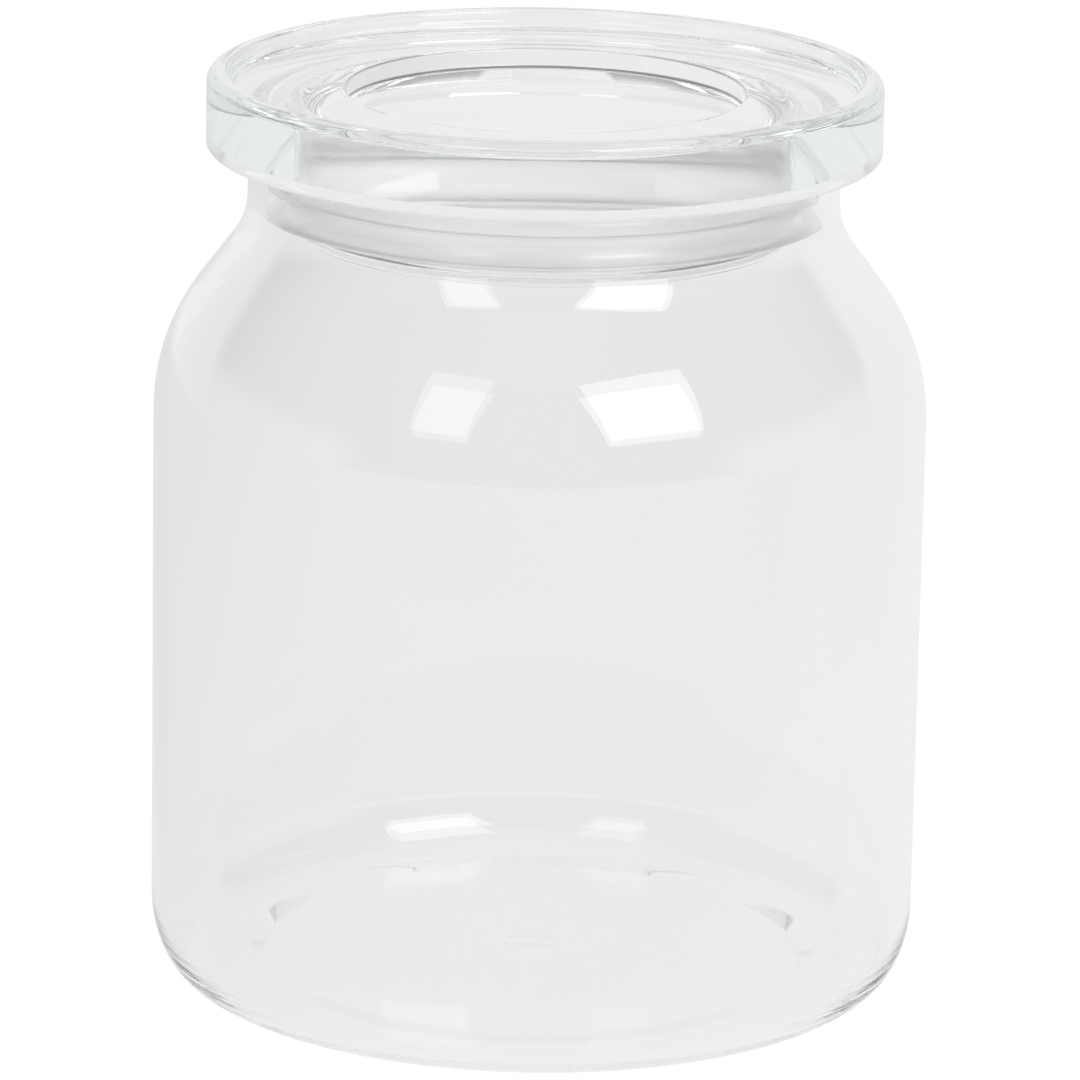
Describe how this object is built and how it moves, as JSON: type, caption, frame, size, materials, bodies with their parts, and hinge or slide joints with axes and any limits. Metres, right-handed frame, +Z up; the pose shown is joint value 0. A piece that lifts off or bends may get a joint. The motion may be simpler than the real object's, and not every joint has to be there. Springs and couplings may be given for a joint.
{
  "type": "glass storage jar",
  "caption": "Clear glass storage jar with a short neck and rounded shoulder, closed by a thick glass lid whose solid plug carries a translucent sealing ring; empty.",
  "frame": {"origin": "centre of the base, on the surface that the jar stands on", "axes": "+Z up along the jar's axis; the jar is turned about Z, so X and Y are free, and the picture is taken from -Y"},
  "size_m": [0.115, 0.115, 0.1376],
  "materials": {
    "jar_glass": "clear, polished",
    "lid_glass": "clear pressed glass with a slight green tint, polished",
    "seal_plastic": "translucent silicone, slightly milky, satin"
  },
  "bodies": {
    "root": {"jar": "jar_glass", "lid": "lid_glass", "seal_ring": "seal_plastic"}
  },
  "joints": []
}
